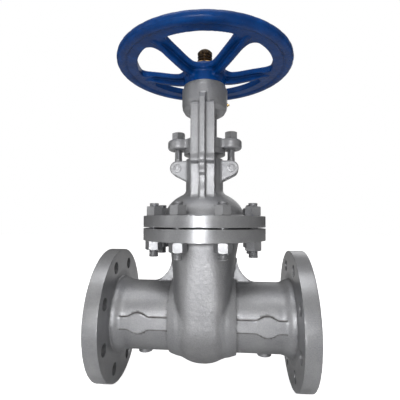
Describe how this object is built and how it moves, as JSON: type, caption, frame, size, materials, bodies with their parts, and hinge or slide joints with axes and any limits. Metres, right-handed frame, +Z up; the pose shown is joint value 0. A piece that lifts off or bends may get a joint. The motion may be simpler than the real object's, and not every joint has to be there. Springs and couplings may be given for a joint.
{
  "type": "gate valve",
  "caption": "Flanged cast-steel wedge gate valve with an outside screw and yoke, a rising stem, an eyebolt gland and a spoked handwheel, shown closed.",
  "frame": {"origin": "centre of the inlet pipe flange's raised sealing face", "axes": "+X along the pipe from the inlet face to the outlet face, +Z up along the stem axis, which crosses the pipe axis 155 mm from the origin; +Y across the pipe, away from the valve's front"},
  "size_m": [0.31, 0.28, 0.525],
  "materials": {
    "silver_paint": "satin silver-grey paint over a fine cast skin, smoother on the machined rims",
    "blue_paint": "glossy royal-blue enamel over a rough casting",
    "stem_steel": "turned steel under dark brown grease",
    "seat_steel": "lapped hard facing",
    "cast_steel": "bare cast steel",
    "bearing_steel": "ground and oiled",
    "bronze": "turned bronze, dulled",
    "brass": "bright brass",
    "graphite": "braided graphite",
    "black_steel": "black oxide"
  },
  "bodies": {
    "root": {"body": "silver_paint", "seat_ring_inlet": "seat_steel", "seat_ring_outlet": "seat_steel", "bonnet_gasket": "graphite", "bonnet": "silver_paint", "bonnet_studs": "silver_paint", "bonnet_nuts_upper": "silver_paint", "bonnet_nuts_lower": "silver_paint", "backseat_bush": "seat_steel", "packing_rings": "graphite", "eyebolt_left": "silver_paint", "eyebolt_right": "silver_paint", "hinge_pin_left": "silver_paint", "hinge_pin_right": "silver_paint", "cotter_pins": "black_steel", "bearing_race_lower_fixed": "bearing_steel", "bearing_race_upper_fixed": "bearing_steel", "bearing_cap": "silver_paint", "bearing_set_screws": "bearing_steel", "grease_nipple": "brass"},
    "handwheel": {"handwheel": "blue_paint", "stem_nut": "bronze", "handwheel_key": "bearing_steel", "handwheel_lock_nut": "bronze", "bearing_race_lower_turning": "bearing_steel", "bearing_race_upper_turning": "bearing_steel"},
    "bearing_cages": {"bearing_cages": "bronze", "bearing_balls": "bearing_steel"},
    "stem": {"stem": "stem_steel", "wedge": "cast_steel", "wedge_facing_rings": "seat_steel"},
    "gland": {"gland_flange": "silver_paint", "gland_bush": "silver_paint"},
    "gland_nut_left": {"gland_nut_left": "silver_paint"},
    "gland_nut_right": {"gland_nut_right": "silver_paint"}
  },
  "joints": [
    {"name": "handwheel_turn", "type": "hinge", "parent": "root", "child": "handwheel", "pos_m": [0.155, 0, 0.38], "axis": [0, 0, 1], "range_deg": [0, 6300]},
    {"name": "stem_travel", "type": "slide", "parent": "root", "child": "stem", "axis": [0, 0, 1], "range_m": [0, 0.0876]},
    {"name": "bearing_cage_turn", "type": "hinge", "parent": "root", "child": "bearing_cages", "pos_m": [0.155, 0, 0.337], "axis": [0, 0, 1], "range_deg": [0, 3151]},
    {"name": "gland_nut_left_turn", "type": "hinge", "parent": "gland", "child": "gland_nut_left", "pos_m": [0.1127, 0, 0.28], "axis": [0, 0, -1], "range_deg": [0, 1081]},
    {"name": "gland_nut_right_turn", "type": "hinge", "parent": "gland", "child": "gland_nut_right", "pos_m": [0.1973, 0, 0.28], "axis": [0, 0, -1], "range_deg": [0, 1081]},
    {"name": "gland_take_up", "type": "slide", "parent": "root", "child": "gland", "axis": [0, 0, -1], "range_m": [0, 0.00525], "deforming": ["packing_rings"]}
  ],
  "couplings": [
    {"joint": "stem_travel", "follows": "handwheel_turn", "m_per_rad": 0.00079577},
    {"joint": "bearing_cage_turn", "follows": "handwheel_turn", "ratio": 0.5},
    {"joint": "gland_nut_left_turn", "follows": "gland_take_up", "rad_per_m": 3590.4},
    {"joint": "gland_nut_right_turn", "follows": "gland_take_up", "rad_per_m": 3590.4}
  ]
}
